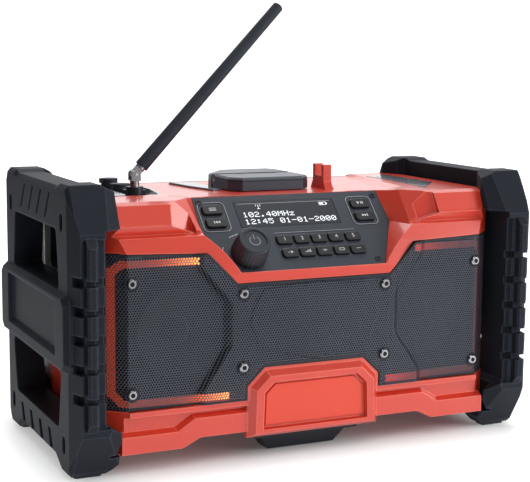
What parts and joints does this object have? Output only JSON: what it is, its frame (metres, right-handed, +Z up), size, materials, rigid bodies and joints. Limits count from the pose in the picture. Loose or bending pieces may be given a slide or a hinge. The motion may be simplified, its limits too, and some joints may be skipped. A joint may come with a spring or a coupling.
{
  "type": "jobsite radio",
  "caption": "Twin-speaker jobsite radio in a red housing between two open end frames, with slanted controls, a lidded top compartment, a battery door and a folding antenna.",
  "frame": {"origin": "On the floor plane of the four pads, under the middle of the overall box.", "axes": "+X to the radio's right seen from the front, +Y to its back, +Z up; the controls face -Y and up."},
  "size_m": [0.438, 0.24, 0.385],
  "materials": {
    "red_plastic": "satin",
    "frame_plastic": "matte",
    "black_plastic": "satin",
    "fascia_plastic": "satin",
    "key_plastic": "satin",
    "lid_plastic": "matte",
    "grille_metal": "satin",
    "dark_steel": "satin",
    "bright_steel": "satin",
    "chrome": "gloss",
    "rubber": "matte",
    "amber_guide": "gloss",
    "cone_paper": "matte",
    "magnet_iron": "matte",
    "display_glass": "gloss",
    "board": "satin"
  },
  "bodies": {
    "radio_body": {"front_housing": "red_plastic", "antenna_clip": "red_plastic", "badge_panel": "red_plastic", "rear_housing": "black_plastic", "side_frame_left": "frame_plastic", "side_frame_right": "frame_plastic", "frame_screws": "dark_steel", "grille_screws": "dark_steel", "fascia_screws": "dark_steel", "housing_screws": "dark_steel", "frame_feet": "rubber", "centre_feet": "black_plastic", "handle_pockets": "black_plastic", "speaker_grille": "grille_metal", "speaker_baffle": "black_plastic", "led_light_guides": "amber_guide", "speaker_baskets": "dark_steel", "speaker_cones": "cone_paper", "speaker_magnets": "magnet_iron", "control_fascia": "fascia_plastic", "display_window": "display_glass", "control_board": "board", "main_board": "board", "rotary_encoder": "dark_steel", "compartment_tub": "black_plastic", "compartment_sockets": "bright_steel", "lid_hinge_pin": "bright_steel", "lid_hinge_block": "lid_plastic", "top_inlays": "black_plastic", "antenna_base": "black_plastic", "socket_caps": "rubber", "battery_bay": "black_plastic", "battery_pack": "lid_plastic", "door_hinge_pin": "bright_steel", "mains_inlet": "black_plastic", "transformer": "magnet_iron"},
    "antenna_swivel_body": {"antenna_yoke": "chrome", "antenna_pin": "bright_steel"},
    "antenna_whip_body": {"antenna_knuckle": "chrome", "antenna_whip": "rubber"},
    "lid_body": {"compartment_lid": "lid_plastic", "lid_seal": "rubber"},
    "door_body": {"battery_door": "black_plastic"},
    "knob_spindle": {"encoder_plunger": "dark_steel"},
    "knob_body": {"knob_shaft": "bright_steel", "volume_knob": "black_plastic"},
    "button_left_upper_body": {"button_left_upper": "key_plastic"},
    "button_left_lower_body": {"button_left_lower": "key_plastic"},
    "button_right_upper_body": {"button_right_upper": "key_plastic"},
    "button_right_lower_body": {"button_right_lower": "key_plastic"},
    "preset_button_1_body": {"preset_button_1": "key_plastic"},
    "preset_button_2_body": {"preset_button_2": "key_plastic"},
    "preset_button_3_body": {"preset_button_3": "key_plastic"},
    "preset_button_4_body": {"preset_button_4": "key_plastic"},
    "preset_button_5_body": {"preset_button_5": "key_plastic"},
    "function_button_1_body": {"function_button_1": "key_plastic"},
    "function_button_2_body": {"function_button_2": "key_plastic"},
    "function_button_3_body": {"function_button_3": "key_plastic"},
    "function_button_4_body": {"function_button_4": "key_plastic"},
    "function_button_5_body": {"function_button_5": "key_plastic"}
  },
  "joints": [
    {"name": "antenna_swivel", "type": "hinge", "parent": "radio_body", "child": "antenna_swivel_body", "pos_m": [-0.1285, -0.01, 0.222], "axis": [0, 0, 1], "range_deg": [-90, 90]},
    {"name": "antenna_tilt", "type": "hinge", "parent": "antenna_swivel_body", "child": "antenna_whip_body", "pos_m": [-0.1285, -0.01, 0.237], "axis": [0, -1, 0], "range_deg": [-47, 43]},
    {"name": "compartment_lid_hinge", "type": "hinge", "parent": "radio_body", "child": "lid_body", "pos_m": [0, 0.026, 0.22535], "axis": [-1, 0, 0], "range_deg": [0, 92]},
    {"name": "battery_door_hinge", "type": "hinge", "parent": "radio_body", "child": "door_body", "pos_m": [0, 0.1017, 0.0414], "axis": [-1, 0, 0], "range_deg": [0, 95]},
    {"name": "knob_push", "type": "slide", "parent": "radio_body", "child": "knob_spindle", "axis": [0, 0.7071, -0.7071], "range_m": [0, 0.0006], "stiffness_N_per_m": 2500, "springref_m": -0.0006},
    {"name": "knob_spin", "type": "hinge", "parent": "knob_spindle", "child": "knob_body", "pos_m": [-0.056, -0.08721, 0.17429], "axis": [0, -0.7071, 0.7071], "continuous": true},
    {"name": "button_left_upper_press", "type": "slide", "parent": "radio_body", "child": "button_left_upper_body", "axis": [0, 0.7071, -0.7071], "range_m": [0, 0.001], "stiffness_N_per_m": 1500, "springref_m": -0.0004},
    {"name": "button_left_lower_press", "type": "slide", "parent": "radio_body", "child": "button_left_lower_body", "axis": [0, 0.7071, -0.7071], "range_m": [0, 0.001], "stiffness_N_per_m": 1500, "springref_m": -0.0004},
    {"name": "button_right_upper_press", "type": "slide", "parent": "radio_body", "child": "button_right_upper_body", "axis": [0, 0.7071, -0.7071], "range_m": [0, 0.001], "stiffness_N_per_m": 1500, "springref_m": -0.0004},
    {"name": "button_right_lower_press", "type": "slide", "parent": "radio_body", "child": "button_right_lower_body", "axis": [0, 0.7071, -0.7071], "range_m": [0, 0.001], "stiffness_N_per_m": 1500, "springref_m": -0.0004},
    {"name": "preset_press_1", "type": "slide", "parent": "radio_body", "child": "preset_button_1_body", "axis": [0, 0.7071, -0.7071], "range_m": [0, 0.001], "stiffness_N_per_m": 1500, "springref_m": -0.0004},
    {"name": "preset_press_2", "type": "slide", "parent": "radio_body", "child": "preset_button_2_body", "axis": [0, 0.7071, -0.7071], "range_m": [0, 0.001], "stiffness_N_per_m": 1500, "springref_m": -0.0004},
    {"name": "preset_press_3", "type": "slide", "parent": "radio_body", "child": "preset_button_3_body", "axis": [0, 0.7071, -0.7071], "range_m": [0, 0.001], "stiffness_N_per_m": 1500, "springref_m": -0.0004},
    {"name": "preset_press_4", "type": "slide", "parent": "radio_body", "child": "preset_button_4_body", "axis": [0, 0.7071, -0.7071], "range_m": [0, 0.001], "stiffness_N_per_m": 1500, "springref_m": -0.0004},
    {"name": "preset_press_5", "type": "slide", "parent": "radio_body", "child": "preset_button_5_body", "axis": [0, 0.7071, -0.7071], "range_m": [0, 0.001], "stiffness_N_per_m": 1500, "springref_m": -0.0004},
    {"name": "function_press_1", "type": "slide", "parent": "radio_body", "child": "function_button_1_body", "axis": [0, 0.7071, -0.7071], "range_m": [0, 0.001], "stiffness_N_per_m": 1500, "springref_m": -0.0004},
    {"name": "function_press_2", "type": "slide", "parent": "radio_body", "child": "function_button_2_body", "axis": [0, 0.7071, -0.7071], "range_m": [0, 0.001], "stiffness_N_per_m": 1500, "springref_m": -0.0004},
    {"name": "function_press_3", "type": "slide", "parent": "radio_body", "child": "function_button_3_body", "axis": [0, 0.7071, -0.7071], "range_m": [0, 0.001], "stiffness_N_per_m": 1500, "springref_m": -0.0004},
    {"name": "function_press_4", "type": "slide", "parent": "radio_body", "child": "function_button_4_body", "axis": [0, 0.7071, -0.7071], "range_m": [0, 0.001], "stiffness_N_per_m": 1500, "springref_m": -0.0004},
    {"name": "function_press_5", "type": "slide", "parent": "radio_body", "child": "function_button_5_body", "axis": [0, 0.7071, -0.7071], "range_m": [0, 0.001], "stiffness_N_per_m": 1500, "springref_m": -0.0004}
  ]
}
